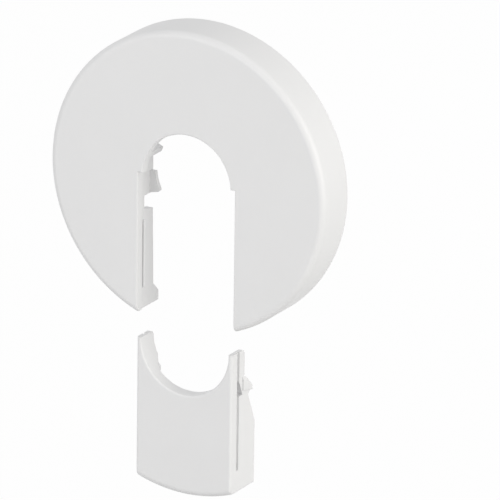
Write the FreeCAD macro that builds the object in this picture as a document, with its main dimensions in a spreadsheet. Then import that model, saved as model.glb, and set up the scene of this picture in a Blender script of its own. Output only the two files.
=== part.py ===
import FreeCAD, Part
import math
import os
import Sketcher

# Radiator pipe collar: a round cover disc, slotted so that it passes over a pipe, and the insert
# that slides up the slot and closes it round the pipe. Each is one plastic moulding.
# Both bodies are drawn with X to the right, Z up and Y as the depth behind the front face.
# The finished frame has its origin at the centre of the pipe hole, halfway through the front wall.

SIZES = (
    # The round cap that both pieces are parts of
    ("outer_diameter", "70", "outside of the collar"),
    ("cap_depth", "10.4", "front face to the wall"),
    ("edge_radius", "1.5", "rounding of the front edge"),
    ("face_thickness", "2.3", "front wall"),
    ("rim_thickness", "2", "rim wall"),
    ("corner_slope", "0.8", "slope inside, between face and rim"),
    # The pipe and the slot
    ("pipe_diameter", "22", "outside of the pipe"),
    ("pipe_clearance", "0.2", "gap round the pipe"),
    ("horn_width", "1.05", "width of the insert beside the pipe hole"),
    ("slide_clearance", "0.1", "gap between faces that slide"),
    ("shoulder_height", "0.45", "top of the wide slot, above the pipe axis"),
    ("stop_gap", "0.15", "gap above the horns of the closed insert"),
    ("slot_edge_radius", "0.3", "rounding of the slot's front edge"),
    # The cover's guide rails
    ("rail_setback", "0.5", "rail face behind the slot's edge"),
    ("rail_thickness", "1.6", "rail wall"),
    ("rail_top", "4.5", "top of the rail, above the pipe axis"),
    ("rail_wall_gap", "2.8", "rail's rear edge to the wall, at its top"),
    ("rail_foot_gap", "2.3", "rail's rear edge to the wall, at its foot"),
    ("foot_length", "2.25", "height of the sloped foot above the rim"),
    ("foot_flat", "0.1", "foot at full depth, above the rim"),
    # The guide tongue on each rail
    ("tongue_gap", "0.2", "tongue behind the front wall"),
    ("tongue_thickness", "0.7", "tongue, front to back"),
    ("tongue_reach", "0.9", "tongue out of the rail"),
    ("tongue_drop", "11.5", "tongue's top below the pipe axis"),
    ("tongue_end", "3.1", "tongue's lower end above the rim"),
    ("tongue_edge_share", "0.42", "rounding of the tongue's edges, as a part of its thickness"),
    # The wing on each rail, which the pipe snaps past
    ("wing_drop", "0.95", "wing's top below the pipe axis"),
    ("wing_gap", "0.5", "wing behind the insert's cheek"),
    ("wing_thickness", "1", "wing, front to back"),
    ("wing_rise", "0.75", "rise of the wing's lower edge, rail to tip"),
    ("wing_round", "0.5", "rounding of the wing's lower tip"),
    # The nubs behind the edge of the pipe hole
    ("nub_angle", "20.5", "middle of a nub, degrees above level"),
    ("nub_spread", "7", "width of a nub, degrees"),
    ("nub_setback", "0.3", "nubs and wings behind the edge of the hole"),
    ("nub_thickness", "1.3", "nub wall"),
    ("nub_end_share", "0.48", "rounding of a nub's end, as a part of its width"),
    ("nub_wall_gap", "2.2", "nub's end to the wall"),
    # The insert's side walls
    ("wall_thickness", "1.4", "insert's side wall"),
    ("side_edge_radius", "0.6", "rounding of the insert's front side edges"),
    ("saddle_edge_radius", "0.4", "rounding of the saddle's front edge"),
    ("horn_side_share", "0.6", "most of a horn's width that its side rounding takes"),
    ("groove_room", "0.25", "groove deeper than the tongue in it"),
    ("groove_end_gap", "0.3", "groove's end below the tongue"),
    # The cheeks that carry the saddle on behind the front wall
    ("cheek_thickness", "2.3", "cheek behind the groove"),
    ("cheek_width", "4.5", "cheek, side to side at its root"),
    ("cheek_round", "1", "rounding of the cheek's top"),
    ("cheek_drop", "5", "end of the cheek's full depth, below the pipe axis"),
    ("cheek_root", "4", "slope below that, down to the front wall"),
    ("rib_height", "0.8", "rib behind the saddle, out of the front wall"),
    ("rib_thickness", "1.2", "rib, away from the pipe"),
    ("rib_spread", "100", "stretch of the rib below the pipe, degrees"),
    ("relief_drop", "6.8", "top of the relief beside the groove, below the pipe axis"),
    ("relief_height", "3.4", "height of the relief"),
    ("relief_width", "1.5", "relief at its foot, behind the groove"),
    ("relief_depth", "3", "relief into the side wall"),
    # The latch: a hook on each side wall and the notch that it enters
    ("hook_drop", "5.9", "hook's top below the pipe axis"),
    ("hook_height", "3.2", "hook, top to bottom at its front"),
    ("hook_lead", "1.2", "height of the hook's lead-in, seen from the front"),
    ("hook_ramp", "3", "height of the hook's rear slope"),
    ("hook_inset", "1.4", "hook behind the groove"),
    ("hook_step", "2.8", "hook behind the cheek"),
    ("hook_slope", "0.8", "fall of the hook's lower face, front to back"),
    ("hook_play", "0.1", "gap between hook and rail"),
    ("hook_edge_share", "0.7", "rounding of the hook's front edge, as a part of its reach"),
    ("notch_drop", "6.25", "notch's top below the pipe axis"),
    ("notch_lead", "0.9", "notch in front of the hook"),
    ("notch_clearance", "0.2", "gap below the hook in its notch"),
    # The side wall below the hook
    ("heel_inset", "1.1", "wall in front of the hook's rear"),
    ("heel_gap", "0.9", "height of the step under the hook"),
    ("heel_height", "7.1", "height over which the wall slopes to full depth"),
    # How far the insert stands drawn out below the cover
    ("draw_out", "38.5", "travel of the insert"),
)

FITS = (
    ("radius", "Sizes.outer_diameter / 2"),
    ("hole_radius", "Sizes.pipe_diameter / 2 + Sizes.pipe_clearance"),
    ("insert_side", "hole_radius + Sizes.horn_width"),
    ("slot_side", "insert_side + Sizes.slide_clearance"),
    ("nub_inside", "hole_radius + Sizes.nub_setback"),
    ("rail_face", "slot_side + Sizes.rail_setback"),
    ("rail_middle", "rail_face + Sizes.rail_thickness / 2"),
    ("horn_top", "Sizes.shoulder_height - Sizes.stop_gap"),
    # Middle of the front wall and of the rim wall, in which added walls are rooted
    ("face_middle", "Sizes.face_thickness / 2"),
    ("rim_middle", "radius - Sizes.rim_thickness / 2"),
    ("rim_seat", "sqrt((radius - Sizes.rim_thickness) ^ 2 - rail_face ^ 2)"),
    ("rail_root", "sqrt(rim_middle ^ 2 - rail_face ^ 2)"),
    ("wall_root", "sqrt(rim_middle ^ 2 - insert_side ^ 2)"),
    # Depths behind the front face
    ("tongue_front", "Sizes.face_thickness + Sizes.tongue_gap"),
    ("tongue_rear", "tongue_front + Sizes.tongue_thickness"),
    ("groove_front", "tongue_front - Sizes.slide_clearance"),
    ("groove_rear", "tongue_rear + Sizes.slide_clearance"),
    ("cheek_rear", "groove_rear + Sizes.cheek_thickness"),
    ("hook_front", "groove_rear + Sizes.hook_inset"),
    ("hook_rear", "cheek_rear + Sizes.hook_step"),
    ("heel_depth", "hook_rear - Sizes.heel_inset"),
    ("notch_front", "hook_front - Sizes.notch_lead"),
    ("wing_front", "cheek_rear + Sizes.wing_gap"),
    ("rail_rear", "Sizes.cap_depth - Sizes.rail_wall_gap"),
    ("rail_foot", "Sizes.cap_depth - Sizes.rail_foot_gap"),
    ("nub_rear", "Sizes.cap_depth - Sizes.nub_wall_gap"),
    # Heights below the pipe axis
    ("hook_bottom", "Sizes.hook_drop + Sizes.hook_height"),
    ("notch_bottom", "hook_bottom + Sizes.notch_clearance"),
    ("wing_tip", "Sizes.notch_drop - Sizes.wing_rise"),
    ("tongue_bottom", "rim_seat - Sizes.tongue_end"),
    ("groove_bottom", "tongue_bottom + Sizes.groove_end_gap"),
    ("relief_bottom", "Sizes.relief_drop + Sizes.relief_height"),
    ("heel_top", "hook_bottom + Sizes.hook_slope + Sizes.heel_gap"),
    # Widths of the tongue, groove and hook
    ("tongue_tip", "rail_face - Sizes.tongue_reach"),
    ("groove_depth", "insert_side - tongue_tip + Sizes.groove_room"),
    ("hook_side", "rail_face - Sizes.hook_play"),
    # Roundings, which a narrow nub, tongue, hook or horn keeps small
    ("nub_end_radius", "Sizes.nub_end_share * nub_inside * Sizes.nub_spread * pi / 180"),
    ("tongue_edge_radius", "Sizes.tongue_edge_share * Sizes.tongue_thickness"),
    ("hook_edge_radius", "Sizes.hook_edge_share * (hook_side - insert_side)"),
    ("side_rounding", "min(Sizes.side_edge_radius; Sizes.horn_side_share * Sizes.horn_width)"),
    ("saddle_rounding", "min(Sizes.saddle_edge_radius; (1 - Sizes.horn_side_share) * Sizes.horn_width)"),
)

# Edges are picked by their place, to within this much
NEAR = 1e-5

doc = FreeCAD.newDocument("pipe_collar")


def make_sheet(name, rows, prefix=""):
    """A sheet with one aliased cell for each row."""
    sheet = doc.addObject("Spreadsheet::Sheet", name)
    for number, row in enumerate(rows, start=1):
        sheet.set(f"A{number}", row[-1] if len(row) > 2 else row[0])
        sheet.set(f"B{number}", prefix + row[1])
        sheet.setAlias(f"B{number}", row[0])
    doc.recompute()
    return sheet


make_sheet("Sizes", SIZES)
fits = make_sheet("Fits", FITS, prefix="=")


def value(expression):
    """The number that an expression has now."""
    return float(fits.evalExpression(expression))


def sketch_on(body, name, role, offset=None):
    """A sketch on one of the body's own planes, moved along the plane's normal."""
    plane = next(item for item in body.Origin.OriginFeatures if item.Role == role)
    sketch = body.newObject("Sketcher::SketchObject", name)
    sketch.AttachmentSupport = (plane, [""])
    sketch.MapMode = "FlatFace"
    if offset:
        sketch.setExpression("AttachmentOffset.Base.z", offset)
    return sketch


def bind(sketch, kind, *reference, expression):
    """A sketch constraint that takes its size from an expression."""
    index = sketch.addConstraint(Sketcher.Constraint(kind, *reference, value(expression)))
    sketch.setExpression(f"Constraints[{index}]", expression)


def arc_between(start, end, centre):
    """An anticlockwise arc from start to end."""
    centre = FreeCAD.Vector(*centre, 0)
    first = math.atan2(start[1] - centre.y, start[0] - centre.x)
    last = math.atan2(end[1] - centre.y, end[0] - centre.x)
    radius = math.hypot(start[0] - centre.x, start[1] - centre.y)
    circle = Part.Circle(centre, FreeCAD.Vector(0, 0, 1), radius)
    return Part.ArcOfCircle(circle, first, last if last > first else last + 2 * math.pi)


def outline(sketch, points, arcs=None):
    """A closed outline through points given as pairs of expressions.

    arcs gives, for the number of a point, the centre and turn of the arc that leaves it; turn is 1
    for anticlockwise and -1 for clockwise. All other stretches are straight.
    """
    arcs = arcs or {}
    spots = [tuple(value(part) for part in point) for point in points]
    joints = []
    for number, start in enumerate(spots):
        end = spots[(number + 1) % len(spots)]
        if number in arcs:
            centre, turn = arcs[number]
            middle = tuple(value(part) for part in centre)
            ends = (start, end) if turn > 0 else (end, start)
            line = sketch.addGeometry(arc_between(*ends, middle))
            across = abs(end[0] - start[0]) < abs(end[1] - start[1])
            if across:
                bind(sketch, "DistanceX", line, 3, expression=centre[0])
            else:
                bind(sketch, "DistanceY", line, 3, expression=centre[1])
            joints.append((line, 1, 2) if turn > 0 else (line, 2, 1))
        else:
            straight = Part.LineSegment(FreeCAD.Vector(*start, 0), FreeCAD.Vector(*end, 0))
            joints.append((sketch.addGeometry(straight), 1, 2))
    for number, (line, first, last) in enumerate(joints):
        before, _, before_last = joints[number - 1]
        sketch.addConstraint(Sketcher.Constraint("Coincident", before, before_last, line, first))
        bind(sketch, "DistanceX", line, first, expression=points[number][0])
        bind(sketch, "DistanceY", line, first, expression=points[number][1])


def feature(body, kind, name, profile, length, reverse=False):
    """A pad or pocket of a sketch; it has to change the body's volume."""
    before = body.Shape.Volume
    made = body.newObject("PartDesign::" + kind, name)
    made.Profile = profile
    made.setExpression("Length", length)
    made.Reversed = reverse
    doc.recompute()
    profile.Visibility = False
    changed = made.Shape.Volume - before
    if changed * (1 if kind == "Pad" else -1) <= 0:
        raise RuntimeError(f"{name} changes nothing")
    return made


def mirror_sides(body, name, originals):
    """The same features on the other side of the middle plane."""
    plane = next(item for item in body.Origin.OriginFeatures if item.Role == "YZ_Plane")
    mirrored = body.newObject("PartDesign::Mirrored", name)
    mirrored.Originals = originals
    mirrored.MirrorPlane = (plane, [""])
    body.Tip = mirrored
    doc.recompute()
    return mirrored


def round_edges(body, name, chosen, radius):
    """Round the edges of the body's last feature for which chosen(edge) is true."""
    base = body.Tip
    names = [f"Edge{number}" for number, edge in enumerate(base.Shape.Edges, start=1) if chosen(edge)]
    if not names:
        raise RuntimeError(f"{name} finds no edge")
    rounded = body.newObject("PartDesign::Fillet", name)
    rounded.Base = (base, names)
    rounded.setExpression("Radius", radius)
    body.Tip = rounded
    doc.recompute()
    return rounded


def new_body(label):
    """A body whose front face is the plane Y = 0 until its front wall is centred there."""
    body = doc.addObject("PartDesign::Body", label)
    body.Label = label
    body.setExpression("Placement.Base.y", "-Fits.face_middle")
    return body


def turn_cap(body):
    """The plain round cap, before it is divided into cover and insert."""
    sketch = sketch_on(body, body.Label + "_cap_profile", "XY_Plane")
    inner = "Fits.radius - Sizes.rim_thickness"
    outline(
        sketch,
        [
            ("0", "0"),
            ("Fits.radius - Sizes.edge_radius", "0"),
            ("Fits.radius", "Sizes.edge_radius"),
            ("Fits.radius", "Sizes.cap_depth"),
            (inner, "Sizes.cap_depth"),
            (inner, "Sizes.face_thickness + Sizes.corner_slope"),
            (inner + " - Sizes.corner_slope", "Sizes.face_thickness"),
            ("0", "Sizes.face_thickness"),
        ],
        {1: (("Fits.radius - Sizes.edge_radius", "Sizes.edge_radius"), 1)},
    )
    cap = body.newObject("PartDesign::Revolution", body.Label + "_cap")
    cap.Profile = sketch
    cap.ReferenceAxis = (sketch, ["V_Axis"])
    cap.Angle = 360
    doc.recompute()
    sketch.Visibility = False
    return cap


def ring_sector(sketch, inner, outer, first, last):
    """The outline of a stretch of ring round the pipe axis, between two angles in degrees."""

    def at(radius, angle):
        return (f"({radius}) * cos(({angle}) * 1 deg)", f"({radius}) * sin(({angle}) * 1 deg)")

    axis = ("0", "0")
    points = [at(inner, first), at(outer, first), at(outer, last), at(inner, last)]
    outline(sketch, points, {1: (axis, 1), 3: (axis, -1)})


def make_cover():
    body = new_body("cover_disc")
    turn_cap(body)

    # The slot: round over the pipe, then wider by the horns of the insert, and open at the bottom
    slot = sketch_on(body, "slot_outline", "XZ_Plane")
    reach = "sqrt(Fits.hole_radius ^ 2 - Sizes.shoulder_height ^ 2)"
    below = "-Fits.radius - Sizes.rim_thickness"
    outline(
        slot,
        [
            (reach, "Sizes.shoulder_height"),
            ("-" + reach, "Sizes.shoulder_height"),
            ("-Fits.slot_side", "Sizes.shoulder_height"),
            ("-Fits.slot_side", below),
            ("Fits.slot_side", below),
            ("Fits.slot_side", "Sizes.shoulder_height"),
        ],
        {0: (("0", "0"), 1)},
    )
    feature(body, "Pocket", "slot", slot, "Sizes.cap_depth")

    # Behind the front wall the rim is cut back to the rails, so that the hooks pass it
    way_in = sketch_on(body, "way_in_outline", "XZ_Plane", "-Sizes.face_thickness")
    outline(
        way_in,
        [
            ("-Fits.rail_face", "0"),
            ("-Fits.rail_face", below),
            ("Fits.rail_face", below),
            ("Fits.rail_face", "0"),
        ],
    )
    feature(body, "Pocket", "way_in", way_in, "Sizes.cap_depth - Sizes.face_thickness")

    # The rail, with the notch for the insert's hook and the foot that stands on the rim
    rail_sketch = sketch_on(body, "rail_outline", "YZ_Plane", "Fits.rail_face")
    outline(
        rail_sketch,
        [
            ("Fits.face_middle", "Sizes.rail_top"),
            ("Fits.rail_rear", "Sizes.rail_top"),
            ("Fits.rail_rear", "-Sizes.notch_drop"),
            ("Fits.notch_front", "-Sizes.notch_drop"),
            ("Fits.notch_front", "-Fits.notch_bottom"),
            ("Fits.rail_rear", "-Fits.notch_bottom - Sizes.hook_slope"),
            ("Fits.rail_foot", "-Fits.rim_seat + Sizes.foot_length"),
            ("Sizes.cap_depth", "-Fits.rim_seat + Sizes.foot_flat"),
            ("Sizes.cap_depth", "-Fits.rail_root"),
            ("Fits.face_middle", "-Fits.rail_root"),
        ],
    )
    rail = feature(body, "Pad", "rail", rail_sketch, "Sizes.rail_thickness")

    # The tongue, with a round top, that the insert's groove runs on
    tongue_sketch = sketch_on(body, "tongue_outline", "YZ_Plane", "Fits.tongue_tip")
    tongue_half = "Sizes.tongue_thickness / 2"
    tongue_shoulder = "-Sizes.tongue_drop - " + tongue_half
    outline(
        tongue_sketch,
        [
            ("Fits.tongue_front", "-Fits.tongue_bottom"),
            ("Fits.tongue_rear", "-Fits.tongue_bottom"),
            ("Fits.tongue_rear", tongue_shoulder),
            ("Fits.tongue_front", tongue_shoulder),
        ],
        {2: (("Fits.tongue_front + " + tongue_half, tongue_shoulder), 1)},
    )
    tongue = feature(
        body, "Pad", "tongue", tongue_sketch, "Fits.rail_middle - Fits.tongue_tip"
    )

    # The wing, whose inner edge follows the pipe
    wing_sketch = sketch_on(body, "wing_outline", "XZ_Plane", "-Fits.wing_front")
    outline(
        wing_sketch,
        [
            ("Fits.rail_middle", "-Sizes.wing_drop"),
            ("sqrt(Fits.nub_inside ^ 2 - Sizes.wing_drop ^ 2)", "-Sizes.wing_drop"),
            ("sqrt(Fits.nub_inside ^ 2 - Fits.wing_tip ^ 2)", "-Fits.wing_tip"),
            ("Fits.rail_middle", "-Sizes.notch_drop"),
        ],
        {1: (("0", "0"), -1)},
    )
    wing = feature(body, "Pad", "wing", wing_sketch, "Sizes.wing_thickness", reverse=True)

    # The nub that carries the edge of the pipe hole on towards the wall
    nub_sketch = sketch_on(body, "nub_outline", "XZ_Plane", "-Fits.face_middle")
    ring_sector(
        nub_sketch,
        "Fits.nub_inside",
        "Fits.nub_inside + Sizes.nub_thickness",
        "Sizes.nub_angle - Sizes.nub_spread / 2",
        "Sizes.nub_angle + Sizes.nub_spread / 2",
    )
    nub = feature(body, "Pad", "nub", nub_sketch, "Fits.nub_rear - Fits.face_middle", reverse=True)

    mirror_sides(body, "left_side", [rail, tongue, wing, nub])

    # The tongue's edges, the nub's end and the wing's tip are round, and the slot's front edge is soft
    tongue_tip = value("Fits.tongue_tip")
    tongue_top = value("Sizes.tongue_drop")
    end_depth = value("Fits.nub_rear")
    tip = value("Fits.wing_tip")
    wing_depth = value("Sizes.wing_thickness")
    slot_side = value("Fits.slot_side")
    hole_radius = value("Fits.hole_radius")

    def tongue_edge(edge):
        box = edge.BoundBox
        at_tip = abs(abs(box.XMin) - tongue_tip) < NEAR and box.XLength < NEAR
        return at_tip and box.ZMax < -tongue_top + NEAR

    def nub_end(edge):
        box = edge.BoundBox
        at_end = abs(box.YMin - end_depth) < NEAR and box.YLength < NEAR
        return at_end and isinstance(edge.Curve, Part.Line)

    def wing_tip(edge):
        box = edge.BoundBox
        return abs(box.ZMin + tip) < NEAR and box.ZLength < NEAR and abs(box.YLength - wing_depth) < NEAR

    def slot_edge(edge):
        box = edge.BoundBox
        in_slot = max(-box.XMin, box.XMax) < slot_side + NEAR and box.ZMax < hole_radius + NEAR
        return box.YMax < NEAR and in_slot

    round_edges(body, "tongue_edges", tongue_edge, "Fits.tongue_edge_radius")
    round_edges(body, "nub_ends", nub_end, "Fits.nub_end_radius")
    round_edges(body, "wing_tips", wing_tip, "Sizes.wing_round")
    round_edges(body, "slot_edge", slot_edge, "Sizes.slot_edge_radius")
    return body


def make_insert():
    body = new_body("slide_insert")
    body.setExpression("Placement.Base.z", "-Sizes.draw_out")
    turn_cap(body)

    # Only the part of the cap that fills the slot is left, below the saddle for the pipe
    trim = sketch_on(body, "insert_outline", "XZ_Plane")
    above = "Fits.radius + Sizes.rim_thickness"
    below = "-Fits.radius - Sizes.rim_thickness"
    outline(trim, [(above, above), (below, above), (below, below), (above, below)])
    reach = "sqrt(Fits.hole_radius ^ 2 - Fits.horn_top ^ 2)"
    low = "-Fits.radius - Sizes.rim_thickness / 2"
    outline(
        trim,
        [
            ("-Fits.insert_side", "Fits.horn_top"),
            ("-Fits.insert_side", low),
            ("Fits.insert_side", low),
            ("Fits.insert_side", "Fits.horn_top"),
            (reach, "Fits.horn_top"),
            ("-" + reach, "Fits.horn_top"),
        ],
        {4: (("0", "0"), -1)},
    )
    feature(body, "Pocket", "insert_shape", trim, "Sizes.cap_depth")

    # The side wall, from the top of the horn to the rim
    wall_inside = "Fits.insert_side - Sizes.wall_thickness"
    wall_sketch = sketch_on(body, "wall_outline", "YZ_Plane", wall_inside)
    round_centre = ("Fits.cheek_rear - Sizes.cheek_round", "Fits.horn_top - Sizes.cheek_round")
    outline(
        wall_sketch,
        [
            ("Fits.face_middle", "Fits.horn_top"),
            (round_centre[0], "Fits.horn_top"),
            ("Fits.cheek_rear", round_centre[1]),
            ("Fits.cheek_rear", "-Sizes.hook_drop"),
            ("Fits.hook_rear", "-Sizes.hook_drop - Sizes.hook_ramp"),
            ("Fits.hook_rear", "-Fits.hook_bottom - Sizes.hook_slope"),
            ("Fits.heel_depth", "-Fits.heel_top"),
            ("Sizes.cap_depth", "-Fits.heel_top - Sizes.heel_height"),
            ("Sizes.cap_depth", "-Fits.wall_root"),
            ("Fits.face_middle", "-Fits.wall_root"),
        ],
        {1: (round_centre, -1)},
    )
    wall = feature(body, "Pad", "side_wall", wall_sketch, "Sizes.wall_thickness")

    # The cheek beside the pipe
    cheek_sketch = sketch_on(body, "cheek_outline", "YZ_Plane", "Fits.insert_side - Sizes.cheek_width")
    outline(
        cheek_sketch,
        [
            ("Fits.face_middle", "Fits.horn_top"),
            ("Fits.face_middle", "-Sizes.cheek_drop - Sizes.cheek_root"),
            ("Sizes.face_thickness", "-Sizes.cheek_drop - Sizes.cheek_root"),
            ("Fits.cheek_rear", "-Sizes.cheek_drop"),
            ("Fits.cheek_rear", round_centre[1]),
            (round_centre[0], "Fits.horn_top"),
        ],
        {4: (round_centre, 1)},
    )
    cheek = feature(body, "Pad", "cheek", cheek_sketch, "Sizes.cheek_width")

    # The hook, with a lead-in that slopes out from the wall
    hook_sketch = sketch_on(body, "hook_outline", "YZ_Plane", "Fits.insert_side - Sizes.wall_thickness / 2")
    outline(
        hook_sketch,
        [
            ("Fits.hook_front", "-Sizes.hook_drop"),
            ("Fits.hook_front", "-Fits.hook_bottom"),
            ("Fits.hook_rear", "-Fits.hook_bottom - Sizes.hook_slope"),
            ("Fits.hook_rear", "-Sizes.hook_drop - Sizes.hook_ramp"),
            ("Fits.cheek_rear", "-Sizes.hook_drop"),
        ],
    )
    hook_length = "Fits.hook_side - Fits.insert_side + Sizes.wall_thickness / 2"
    hook = feature(body, "Pad", "hook", hook_sketch, hook_length)
    lead_sketch = sketch_on(body, "lead_in_outline", "XZ_Plane", "-Fits.hook_front")
    outline(
        lead_sketch,
        [
            ("Fits.insert_side", "-Sizes.hook_drop"),
            ("Fits.hook_side", "-Sizes.hook_drop - Sizes.hook_lead"),
            ("Fits.hook_side", "-Sizes.hook_drop"),
        ],
    )
    lead = feature(body, "Pocket", "hook_lead_in", lead_sketch, "Fits.hook_rear - Fits.hook_front")

    # The groove for the cover's tongue, down from the top of the horn, and the relief beside it
    groove_sketch = sketch_on(body, "groove_outline", "YZ_Plane", "Fits.insert_side")
    outline(
        groove_sketch,
        [
            ("Fits.groove_front", "Fits.horn_top"),
            ("Fits.groove_front", "-Fits.groove_bottom"),
            ("Fits.groove_rear", "-Fits.groove_bottom"),
            ("Fits.groove_rear", "Fits.horn_top"),
        ],
    )
    groove = feature(body, "Pocket", "groove", groove_sketch, "Fits.groove_depth")
    relief_sketch = sketch_on(body, "relief_outline", "YZ_Plane", "Fits.insert_side")
    outline(
        relief_sketch,
        [
            ("Fits.groove_front", "-Sizes.relief_drop"),
            ("Fits.groove_front", "-Fits.relief_bottom"),
            ("Fits.groove_rear + Sizes.relief_width", "-Fits.relief_bottom"),
            ("Fits.groove_rear", "-Sizes.relief_drop"),
        ],
    )
    relief = feature(body, "Pocket", "relief", relief_sketch, "Sizes.relief_depth")

    mirror_sides(body, "left_side_of_insert", [wall, cheek, hook, lead, groove, relief])

    # The rib that joins the cheeks below the pipe
    rib_sketch = sketch_on(body, "rib_outline", "XZ_Plane", "-Fits.face_middle")
    ring_sector(
        rib_sketch,
        "Fits.hole_radius - Sizes.pipe_clearance",
        "Fits.hole_radius + Sizes.rib_thickness",
        "-90 - Sizes.rib_spread / 2",
        "-90 + Sizes.rib_spread / 2",
    )
    feature(body, "Pad", "rib", rib_sketch, "Fits.face_middle + Sizes.rib_height", reverse=True)

    # The way for the pipe between the cheeks
    bore_sketch = sketch_on(body, "bore_outline", "XZ_Plane")
    pipe_way = Part.Circle(FreeCAD.Vector(), FreeCAD.Vector(0, 0, 1), value("Fits.hole_radius"))
    circle = bore_sketch.addGeometry(pipe_way)
    bore_sketch.addConstraint(Sketcher.Constraint("Coincident", circle, 3, -1, 1))
    bind(bore_sketch, "Radius", circle, expression="Fits.hole_radius")
    feature(body, "Pocket", "pipe_way", bore_sketch, "Sizes.cap_depth")

    # The front edges are soft: the sides more than the saddle, and the hook's front edge round
    side = value("Fits.insert_side")
    saddle = value("Fits.hole_radius")
    hook_side = value("Fits.hook_side")
    hook_front = value("Fits.hook_front")

    def side_edge(edge):
        box = edge.BoundBox
        return box.YMax < NEAR and box.XLength < NEAR and abs(abs(box.XMin) - side) < NEAR

    def saddle_edge(edge):
        in_front = edge.BoundBox.YMax < NEAR
        return in_front and isinstance(edge.Curve, Part.Circle) and abs(edge.Curve.Radius - saddle) < NEAR

    def hook_edge(edge):
        box = edge.BoundBox
        at_side = abs(abs(box.XMin) - hook_side) < NEAR and box.XLength < NEAR
        return at_side and abs(box.YMin - hook_front) < NEAR and box.YLength < NEAR

    round_edges(body, "side_edges", side_edge, "Fits.side_rounding")
    round_edges(body, "saddle_edge", saddle_edge, "Fits.saddle_rounding")
    round_edges(body, "hook_edges", hook_edge, "Fits.hook_edge_radius")
    return body


bodies = [make_cover(), make_insert()]
doc.recompute()

for item in doc.Objects:
    if "Invalid" in item.State or "Error" in item.State:
        raise RuntimeError(f"{item.Label} failed: {item.State}")
for body in bodies:
    if body.Shape.isNull() or not body.Shape.isValid() or len(body.Shape.Solids) != 1:
        raise RuntimeError(f"{body.Label} is not one valid solid")

os.makedirs("parts", exist_ok=True)
for body in bodies:
    body.Shape.exportStep(f"parts/{body.Label}.step")
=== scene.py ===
import math

import bpy
from bpy.props import FloatProperty, FloatVectorProperty, PointerProperty
from mathutils import Matrix, Vector


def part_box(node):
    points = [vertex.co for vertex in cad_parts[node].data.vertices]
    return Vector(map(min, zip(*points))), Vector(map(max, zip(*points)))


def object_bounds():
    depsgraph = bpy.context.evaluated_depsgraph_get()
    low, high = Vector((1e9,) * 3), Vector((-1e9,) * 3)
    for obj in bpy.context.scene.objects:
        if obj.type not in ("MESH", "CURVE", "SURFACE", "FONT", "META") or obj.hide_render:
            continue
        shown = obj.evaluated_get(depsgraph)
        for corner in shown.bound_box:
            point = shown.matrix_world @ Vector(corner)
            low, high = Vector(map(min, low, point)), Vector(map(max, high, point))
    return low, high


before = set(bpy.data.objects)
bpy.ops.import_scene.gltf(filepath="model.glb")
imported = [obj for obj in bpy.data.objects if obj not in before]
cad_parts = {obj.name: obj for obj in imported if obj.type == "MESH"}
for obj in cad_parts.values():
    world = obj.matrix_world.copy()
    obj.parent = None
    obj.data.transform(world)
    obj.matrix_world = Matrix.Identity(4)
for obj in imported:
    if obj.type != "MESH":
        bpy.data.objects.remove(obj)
CAD_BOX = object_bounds()

bl_info = {
    "name": "Radiator Pipe Collar",
    "version": (1, 0, 0),
    "blender": (4, 5, 0),
    "location": "View3D > Sidebar > Collar",
    "description": "Finishes a two-piece pipe collar in satin white plastic and lights it",
    "category": "3D View",
}

WHITE = (1.0, 1.0, 1.0)

# The camera: width of its sensor in millimetres, width of the picture, and what it sees, in metres
SENSOR_WIDTH = 36.0
IMAGE_PIXELS = 500
NEAREST = 0.01
FARTHEST = 100.0

# The plastic: noise values at which the clouds begin and end, finer layers of each noise, samples of
# the soft edges, refraction, and how far the pattern is moved on each piece
CLOUD_SPAN = (0.3, 0.7)
CLOUD_DETAIL = 3.0
GRAIN_DETAIL = 2.0
EDGE_SAMPLES = 6
PLASTIC_IOR = 1.5
COVER_SHIFT = (0.0, 0.0, 0.0)
INSERT_SHIFT = (0.31, 0.17, 0.05)

# Width and height of one place for a node in a shader tree
NODE_GRID = (240, 200)


class CollarFinish(bpy.types.PropertyGroup):
    """The moulded plastic of both pieces."""

    plastic: FloatVectorProperty(
        name="Plastic",
        description="Colour of the white plastic",
        subtype="COLOR",
        size=3,
        min=0.0,
        max=1.0,
        default=(0.76, 0.76, 0.765),
    )
    clouding: FloatVectorProperty(
        name="Clouding",
        description="Colour of the slightly greyer flow clouds in the plastic",
        subtype="COLOR",
        size=3,
        min=0.0,
        max=1.0,
        default=(0.745, 0.745, 0.75),
    )
    cloud_size: FloatProperty(
        name="Cloud size",
        description="Width of one flow cloud",
        subtype="DISTANCE",
        unit="LENGTH",
        default=0.018,
    )
    grain_size: FloatProperty(
        name="Grain size",
        description="Width of one grain of the satin mould surface",
        subtype="DISTANCE",
        unit="LENGTH",
        default=0.0004,
    )
    grain_height: FloatProperty(
        name="Grain height",
        description="Height of the satin mould grain",
        subtype="DISTANCE",
        unit="LENGTH",
        default=0.000004,
    )
    roughness_low: FloatProperty(
        name="Smoothest",
        description="Roughness where the mould was polished best",
        subtype="FACTOR",
        min=0.0,
        max=1.0,
        default=0.36,
    )
    roughness_high: FloatProperty(
        name="Roughest",
        description="Roughness where the mould was polished least",
        subtype="FACTOR",
        min=0.0,
        max=1.0,
        default=0.46,
    )
    soft_edge: FloatProperty(
        name="Soft edge",
        description="Radius that light sees on the moulded edges",
        subtype="DISTANCE",
        unit="LENGTH",
        default=0.00018,
    )


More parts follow.
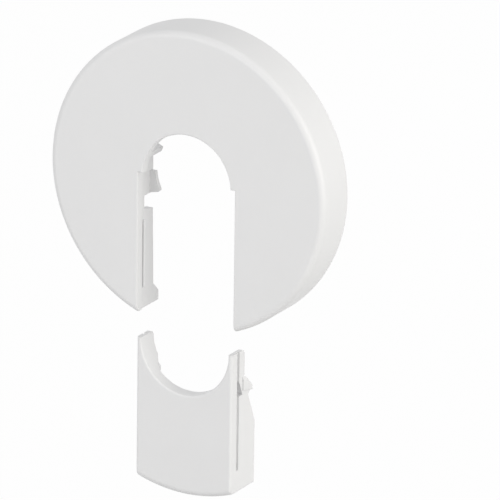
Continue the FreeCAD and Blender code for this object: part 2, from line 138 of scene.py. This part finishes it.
class CollarStage(bpy.types.PropertyGroup):
    """The floor, the lamps and the camera."""

    floor_colour: FloatVectorProperty(
        name="Floor colour",
        description="Colour of the pale floor, which throws light back on the collar",
        subtype="COLOR",
        size=3,
        min=0.0,
        max=1.0,
        default=(0.5, 0.5, 0.5),
    )
    floor_depth: FloatProperty(
        name="Floor depth",
        description="Floor below the lowest point of the collar",
        subtype="DISTANCE",
        unit="LENGTH",
        default=0.2,
    )
    floor_size: FloatProperty(
        name="Floor size",
        description="Width of the floor",
        subtype="DISTANCE",
        unit="LENGTH",
        default=16.0,
    )
    floor_white: FloatProperty(
        name="Floor white",
        description="Share of plain white in the floor as the camera sees it",
        subtype="FACTOR",
        min=0.0,
        max=1.0,
        default=0.98,
    )
    sky_strength: FloatProperty(
        name="Sky strength",
        description="Even light from all round",
        default=0.695,
    )
    key_power: FloatProperty(
        name="Key power",
        description="Power of the large soft lamp on the right",
        unit="POWER",
        default=5.75,
    )
    key_size: FloatProperty(
        name="Key size",
        description="Width of the lamp on the right",
        subtype="DISTANCE",
        unit="LENGTH",
        default=0.8,
    )
    key_colour: FloatVectorProperty(
        name="Key colour",
        description="Colour of the lamp on the right",
        subtype="COLOR",
        size=3,
        min=0.0,
        max=1.0,
        default=(1.0, 0.985, 0.94),
    )
    key_place: FloatVectorProperty(
        name="Key place",
        description="Where the lamp on the right stands",
        subtype="TRANSLATION",
        size=3,
        default=(0.945, -0.253, 0.208),
    )
    fill_power: FloatProperty(
        name="Fill power",
        description="Power of the soft lamp on the left in front",
        unit="POWER",
        default=2.97,
    )
    fill_size: FloatProperty(
        name="Fill size",
        description="Width of the lamp on the left in front",
        subtype="DISTANCE",
        unit="LENGTH",
        default=0.8,
    )
    fill_place: FloatVectorProperty(
        name="Fill place",
        description="Where the lamp on the left in front stands",
        subtype="TRANSLATION",
        size=3,
        default=(-0.45, -0.88, 0.1),
    )
    rear_power: FloatProperty(
        name="Rear power",
        description="Power of the soft lamp behind the collar",
        unit="POWER",
        default=1.8,
    )
    rear_size: FloatProperty(
        name="Rear size",
        description="Width of the lamp behind the collar",
        subtype="DISTANCE",
        unit="LENGTH",
        default=0.5,
    )
    rear_place: FloatVectorProperty(
        name="Rear place",
        description="Where the lamp behind the collar stands",
        subtype="TRANSLATION",
        size=3,
        default=(-0.1, 1.0, -0.05),
    )
    focal_pixels: FloatProperty(
        name="Focal length",
        description="Focal length of the lens in pixels of the picture",
        default=9463.2,
    )
    yaw: FloatProperty(
        name="Yaw",
        description="How far the camera stands round to the right of the collar",
        subtype="ANGLE",
        unit="ROTATION",
        default=math.radians(29.585),
    )
    pitch: FloatProperty(
        name="Pitch",
        description="How far the camera looks down",
        subtype="ANGLE",
        unit="ROTATION",
        default=math.radians(19.327),
    )
    roll: FloatProperty(
        name="Roll",
        description="How far the camera is turned about its own axis",
        subtype="ANGLE",
        unit="ROTATION",
        default=math.radians(0.75),
    )
    aim: FloatVectorProperty(
        name="Aim",
        description="Middle of the disc's rear plane, seen from the camera: right, up and away",
        subtype="TRANSLATION",
        size=3,
        default=(-0.008939, 0.017545, 2.097),
    )


def deselect_all():
    """Leave nothing selected, so that an operator acts only on what it makes."""
    bpy.ops.object.select_all(action="DESELECT")


def add_node(tree, kind, column, row, **settings):
    """A shader node in a column and row of the tree, with its settings."""
    node = tree.nodes.new(kind)
    node.location = (column * NODE_GRID[0], -row * NODE_GRID[1])
    for name, setting in settings.items():
        setattr(node, name, setting)
    return node


def blank_material(name):
    """A material with an empty node tree."""
    material = bpy.data.materials.new(name)
    material.use_nodes = True
    material.node_tree.nodes.clear()
    return material


def satin_plastic(name, shift):
    """White moulded plastic: faint flow clouds, fine satin grain and soft edges.

    shift moves the pattern, so that two pieces don't carry the same clouds.
    """
    finish = bpy.context.scene.collar_finish
    material = blank_material(name)
    tree = material.node_tree
    link = tree.links.new

    coordinates = add_node(tree, "ShaderNodeTexCoord", 0, 1)
    mapping = add_node(tree, "ShaderNodeMapping", 1, 1)
    mapping.inputs["Location"].default_value = shift
    link(coordinates.outputs["Object"], mapping.inputs["Vector"])

    clouds = add_node(tree, "ShaderNodeTexNoise", 2, 0)
    clouds.inputs["Scale"].default_value = 1.0 / finish.cloud_size
    clouds.inputs["Detail"].default_value = CLOUD_DETAIL
    link(mapping.outputs["Vector"], clouds.inputs["Vector"])

    tint = add_node(tree, "ShaderNodeValToRGB", 3, 0)
    tint.color_ramp.elements[0].position = CLOUD_SPAN[0]
    tint.color_ramp.elements[0].color = (*finish.clouding, 1.0)
    tint.color_ramp.elements[1].position = CLOUD_SPAN[1]
    tint.color_ramp.elements[1].color = (*finish.plastic, 1.0)
    link(clouds.outputs["Fac"], tint.inputs["Fac"])

    polish = add_node(tree, "ShaderNodeMapRange", 3, 1)
    polish.inputs["From Min"].default_value = CLOUD_SPAN[0]
    polish.inputs["From Max"].default_value = CLOUD_SPAN[1]
    polish.inputs["To Min"].default_value = finish.roughness_low
    polish.inputs["To Max"].default_value = finish.roughness_high
    link(clouds.outputs["Fac"], polish.inputs["Value"])

    grain = add_node(tree, "ShaderNodeTexNoise", 2, 2)
    grain.inputs["Scale"].default_value = 1.0 / finish.grain_size
    grain.inputs["Detail"].default_value = GRAIN_DETAIL
    link(mapping.outputs["Vector"], grain.inputs["Vector"])

    edges = add_node(tree, "ShaderNodeBevel", 3, 3, samples=EDGE_SAMPLES)
    edges.inputs["Radius"].default_value = finish.soft_edge

    bump = add_node(tree, "ShaderNodeBump", 4, 2)
    bump.inputs["Distance"].default_value = finish.grain_height
    link(grain.outputs["Fac"], bump.inputs["Height"])
    link(edges.outputs["Normal"], bump.inputs["Normal"])

    plastic = add_node(tree, "ShaderNodeBsdfPrincipled", 5, 1)
    plastic.inputs["IOR"].default_value = PLASTIC_IOR
    link(tint.outputs["Color"], plastic.inputs["Base Color"])
    link(polish.outputs["Result"], plastic.inputs["Roughness"])
    link(bump.outputs["Normal"], plastic.inputs["Normal"])

    output = add_node(tree, "ShaderNodeOutputMaterial", 6, 1)
    link(plastic.outputs["BSDF"], output.inputs["Surface"])
    return material


def dress(node_name, material):
    """Give one moulded piece its material."""
    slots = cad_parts[node_name].data.materials
    slots.clear()
    slots.append(material)


class COLLAR_OT_finish_cover(bpy.types.Operator):
    """Give the slotted cover disc its satin white plastic"""

    bl_idname = "collar.finish_cover"
    bl_label = "Finish the Cover Disc"

    def execute(self, context):
        dress("cover_disc", satin_plastic("cover_plastic", COVER_SHIFT))
        return {"FINISHED"}


class COLLAR_OT_finish_insert(bpy.types.Operator):
    """Give the slide insert its satin white plastic"""

    bl_idname = "collar.finish_insert"
    bl_label = "Finish the Slide Insert"

    def execute(self, context):
        dress("slide_insert", satin_plastic("insert_plastic", INSERT_SHIFT))
        return {"FINISHED"}


def white_to_camera(tree):
    """A value that is 1 for what the camera sees, in gloss and through clear things too."""
    path = add_node(tree, "ShaderNodeLightPath", 0, 0)
    straight = add_node(tree, "ShaderNodeMath", 1, 0, operation="MAXIMUM")
    either = add_node(tree, "ShaderNodeMath", 2, 0, operation="MAXIMUM")
    tree.links.new(path.outputs["Is Camera Ray"], straight.inputs[0])
    tree.links.new(path.outputs["Is Glossy Ray"], straight.inputs[1])
    tree.links.new(straight.outputs["Value"], either.inputs[0])
    tree.links.new(path.outputs["Is Transmission Ray"], either.inputs[1])
    return either.outputs["Value"]


class COLLAR_OT_set_stage(bpy.types.Operator):
    """Lay the pale floor, hang the lamps and place the camera"""

    bl_idname = "collar.set_stage"
    bl_label = "Set the Stage"

    def execute(self, context):
        stage = context.scene.collar_stage
        self.lay_floor(stage)
        self.light_sky(context.scene, stage)
        self.hang_lamp("key_lamp", stage.key_place, stage.key_power, stage.key_size, stage.key_colour)
        self.hang_lamp("fill_lamp", stage.fill_place, stage.fill_power, stage.fill_size, WHITE)
        self.hang_lamp("rear_lamp", stage.rear_place, stage.rear_power, stage.rear_size, WHITE)
        self.place_camera(context.scene, stage)
        context.scene.view_settings.view_transform = "Standard"
        return {"FINISHED"}

    def lay_floor(self, stage):
        deselect_all()
        height = CAD_BOX[0][2] - stage.floor_depth
        bpy.ops.mesh.primitive_plane_add(size=stage.floor_size, location=(0.0, 0.0, height))
        floor = bpy.context.object
        floor.name = "floor"
        bpy.ops.object.transform_apply(location=True, rotation=True, scale=True)

        material = blank_material("pale_floor")
        tree = material.node_tree
        matte = add_node(tree, "ShaderNodeBsdfDiffuse", 3, 1)
        matte.inputs["Color"].default_value = (*stage.floor_colour, 1.0)
        white = add_node(tree, "ShaderNodeEmission", 3, 2)
        share = add_node(tree, "ShaderNodeMath", 3, 0, operation="MULTIPLY")
        share.inputs[1].default_value = stage.floor_white
        tree.links.new(white_to_camera(tree), share.inputs[0])
        mix = add_node(tree, "ShaderNodeMixShader", 4, 1)
        tree.links.new(share.outputs["Value"], mix.inputs["Fac"])
        tree.links.new(matte.outputs["BSDF"], mix.inputs[1])
        tree.links.new(white.outputs["Emission"], mix.inputs[2])
        output = add_node(tree, "ShaderNodeOutputMaterial", 5, 1)
        tree.links.new(mix.outputs["Shader"], output.inputs["Surface"])
        floor.data.materials.append(material)

    def light_sky(self, scene, stage):
        world = bpy.data.worlds.new("studio")
        world.use_nodes = True
        scene.world = world
        tree = world.node_tree
        tree.nodes.clear()
        even = add_node(tree, "ShaderNodeBackground", 3, 1)
        even.inputs["Strength"].default_value = stage.sky_strength
        even.inputs["Color"].default_value = (*WHITE, 1.0)
        white = add_node(tree, "ShaderNodeBackground", 3, 2)
        white.inputs["Color"].default_value = (*WHITE, 1.0)
        mix = add_node(tree, "ShaderNodeMixShader", 4, 1)
        tree.links.new(white_to_camera(tree), mix.inputs["Fac"])
        tree.links.new(even.outputs["Background"], mix.inputs[1])
        tree.links.new(white.outputs["Background"], mix.inputs[2])
        output = add_node(tree, "ShaderNodeOutputWorld", 5, 1)
        tree.links.new(mix.outputs["Shader"], output.inputs["Surface"])

    def hang_lamp(self, name, place, power, size, colour):
        deselect_all()
        turn = (-Vector(place)).to_track_quat("-Z", "Y").to_euler()
        bpy.ops.object.light_add(type="AREA", location=place, rotation=turn)
        lamp = bpy.context.object
        lamp.name = name
        lamp.data.energy = power
        lamp.data.color = colour
        lamp.data.shape = "DISK"
        lamp.data.size = size

    def place_camera(self, scene, stage):
        away = Vector((
            -math.sin(stage.yaw) * math.cos(stage.pitch),
            math.cos(stage.yaw) * math.cos(stage.pitch),
            -math.sin(stage.pitch),
        ))
        level = Vector((math.cos(stage.yaw), math.sin(stage.yaw), 0.0))
        upright = level.cross(away)
        right = level * math.cos(stage.roll) + upright * math.sin(stage.roll)
        up = upright * math.cos(stage.roll) - level * math.sin(stage.roll)
        rear = Vector((0.0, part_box("cover_disc")[1].y, 0.0))
        place = rear - (right * stage.aim[0] + up * stage.aim[1] + away * stage.aim[2])

        deselect_all()
        bpy.ops.object.camera_add()
        camera = bpy.context.object
        camera.name = "photo_camera"
        turn = Matrix((right, up, -away)).transposed()
        camera.matrix_world = Matrix.Translation(place) @ turn.to_4x4()
        camera.data.sensor_width = SENSOR_WIDTH
        camera.data.lens = SENSOR_WIDTH * stage.focal_pixels / IMAGE_PIXELS
        camera.data.clip_start = NEAREST
        camera.data.clip_end = FARTHEST
        scene.camera = camera


class COLLAR_PT_panel(bpy.types.Panel):
    """The collar's sizes and colours, and the steps that use them"""

    bl_idname = "COLLAR_PT_panel"
    bl_label = "Radiator Pipe Collar"
    bl_space_type = "VIEW_3D"
    bl_region_type = "UI"
    bl_category = "Collar"

    def draw(self, context):
        layout = self.layout
        for group in (context.scene.collar_finish, context.scene.collar_stage):
            box = layout.box()
            for name in group.bl_rna.properties.keys():
                if name not in {"rna_type", "name"}:
                    box.prop(group, name)
        for operator in OPERATORS:
            layout.operator(operator.bl_idname)


OPERATORS = (COLLAR_OT_finish_cover, COLLAR_OT_finish_insert, COLLAR_OT_set_stage)
CLASSES = (CollarFinish, CollarStage, *OPERATORS, COLLAR_PT_panel)


def register():
    for cls in CLASSES:
        bpy.utils.register_class(cls)
    bpy.types.Scene.collar_finish = PointerProperty(type=CollarFinish)
    bpy.types.Scene.collar_stage = PointerProperty(type=CollarStage)


def unregister():
    del bpy.types.Scene.collar_stage
    del bpy.types.Scene.collar_finish
    for cls in reversed(CLASSES):
        bpy.utils.unregister_class(cls)


def main():
    register()
    bpy.ops.collar.finish_cover()
    bpy.ops.collar.finish_insert()
    bpy.ops.collar.set_stage()


if __name__ == "__main__":
    main()
